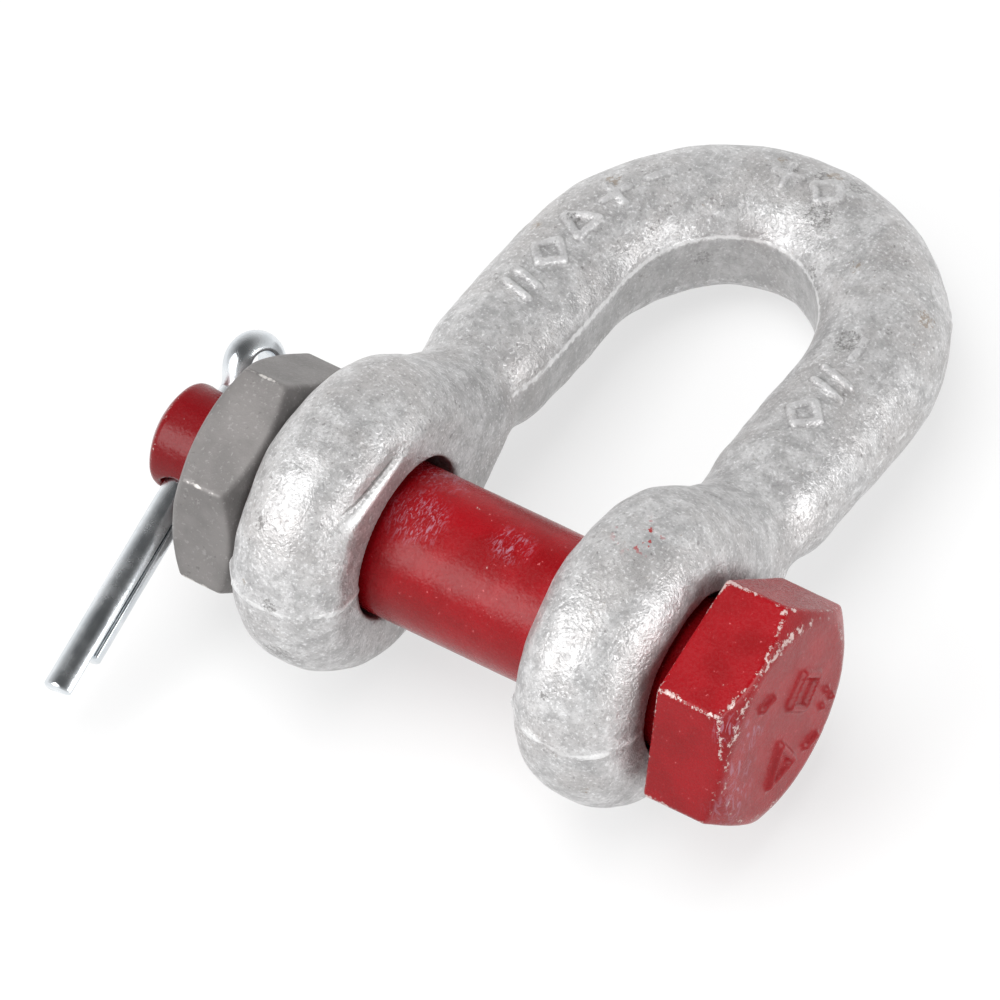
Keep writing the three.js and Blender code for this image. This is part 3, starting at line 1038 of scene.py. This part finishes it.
body = piece_from_field("body_forging", "shackle_body", VOXEL_BODY, EYE_CENTRE, body_field, {
    "stain": BODY_STAINS,
    "rust": BODY_RUST,
    "paint_specks": BODY_PAINT_SPECKS,
    "trim": body_trim,
    "trim_edge": trim_edge,
    "ridge": body_ridge,
    "mark": body_mark,
    "scar_light": body_scar_light,
})
bolt = piece_from_field("hex_bolt", "bolt", VOXEL_BOLT, BOLT_AXIS, bolt_field, {
    "edge": bolt_edges,
    "scuff": BOLT_SCUFFS,
    "wear": lambda points: 0.1 * BOLT_WEAR(points),
    # The tip measure places the painted shade on the bolt's tip.
    "tip": lambda points: smooth_step(-36, -39, points[:, 0]),
}, rounds=10)
nut = piece_from_field("thin_nut", "nut", VOXEL_NUT, BOLT_AXIS, nut_field, {"edge": nut_edges}, rounds=10)
cotter = cotter_piece("split_pin")

for piece, carrier, node, slot, look in (
    (body, "shackle_body", "shackle_body", "galvanised", galvanised),
    (bolt, "bolt", "bolt", "red_paint", red_paint),
    (nut, "nut", "nut", "dull_steel", plain_steel),
    (cotter, "cotter_pin", "cotter_pin", "bright_zinc", bright_zinc),
):
    piece.data.materials.append(look())
    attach(piece, carrier)
    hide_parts(node)


# ---------------------------------------------------------------- floor, light and camera

CAMERA_AZIMUTH = 40.9
CAMERA_ELEVATION = 54.31
CAMERA_ROLL = -9.87
CAMERA_DISTANCE = 1.5
FRAME_WIDTH = 0.1178
SENSOR = 36
AIM_RIGHT = 0.37
AIM_UP = 9.85
FLOOR_SIZE = 6
ROOM_HEIGHTS = (0.1, 0.9)
ROOM_BRIGHTNESS = (0.85, 0.1)


def camera_axes():
    """The camera's right, up and back directions in the row frame."""
    azimuth = math.radians(CAMERA_AZIMUTH)
    elevation = math.radians(CAMERA_ELEVATION)
    roll = math.radians(CAMERA_ROLL)
    level = Vector((math.cos(azimuth), math.sin(azimuth), 0))
    outward = Vector((math.sin(azimuth), -math.cos(azimuth), 0))
    back = math.cos(elevation) * outward + Vector((0, 0, math.sin(elevation)))
    steep = back.cross(level)
    right = math.cos(roll) * level + math.sin(roll) * steep
    up = math.cos(roll) * steep - math.sin(roll) * level
    return right, up, back


RIGHT, UP, BACK = camera_axes()
AIM = Vector(BOLT_AXIS) + (AIM_RIGHT * RIGHT + AIM_UP * UP) * MM


def make_camera():
    data = bpy.data.cameras.new("camera")
    data.sensor_width = SENSOR
    data.lens = SENSOR * CAMERA_DISTANCE / FRAME_WIDTH
    data.clip_start = 0.05
    data.clip_end = 50
    camera = put_in_scene("camera", data)
    turned = Matrix((RIGHT, UP, BACK)).transposed().to_4x4()
    turned.translation = AIM + BACK * CAMERA_DISTANCE
    camera.matrix_world = turned
    bpy.context.scene.camera = camera


def make_floor():
    mesh = bpy.data.meshes.new("floor")
    half = FLOOR_SIZE / 2
    corners = [(-half, -half, 0), (half, -half, 0), (half, half, 0), (-half, half, 0)]
    mesh.from_pydata(corners, [], [(0, 1, 2, 3)])
    mesh.materials.append(pale_floor())
    put_in_scene("floor", mesh)


def soft_light(name, direction, distance, size, power, mirrored=True):
    """A square soft light that faces the object; direction is in camera right, up and back.

    One that isn't mirrored lights the object but does not show in its reflections.
    """
    data = bpy.data.lights.new(name, "AREA")
    data.size = size
    data.energy = power
    light = put_in_scene(name, data)
    towards = (direction[0] * RIGHT + direction[1] * UP + direction[2] * BACK).normalized()
    light.location = AIM + towards * distance
    light.rotation_euler = towards.to_track_quat("Z", "Y").to_euler()
    light.visible_glossy = mirrored


def make_world():
    """A pale room that is brighter near the horizon than overhead."""
    world = bpy.data.worlds.new("pale_room")
    world.use_nodes = True
    tree = world.node_tree
    place = tree.nodes.new("ShaderNodeTexCoord")
    split = tree.nodes.new("ShaderNodeSeparateXYZ")
    ramp = tree.nodes.new("ShaderNodeMapRange")
    tree.links.new(place.outputs["Generated"], split.inputs[0])
    tree.links.new(split.outputs["Z"], ramp.inputs["Value"])
    sockets = ("From Min", "From Max", "To Min", "To Max")
    for socket, number in zip(sockets, (*ROOM_HEIGHTS, *ROOM_BRIGHTNESS)):
        ramp.inputs[socket].default_value = number
    tree.nodes["Background"].inputs["Color"].default_value = (1, 1, 1, 1)
    tree.links.new(ramp.outputs[0], tree.nodes["Background"].inputs["Strength"])
    bpy.context.scene.world = world


make_camera()
make_floor()
make_world()
soft_light("left_softbox", (-0.78, 0.05, 0.62), distance=0.9, size=0.6, power=5.4)
soft_light("right_softbox", (0.85, -0.3, 0.5), distance=0.9, size=0.7, power=6.5)
soft_light("overhead_fill", (-0.25, 0.6, 0.75), distance=1.2, size=1.0, power=18.5, mirrored=False)
bpy.context.scene.view_settings.view_transform = "Standard"
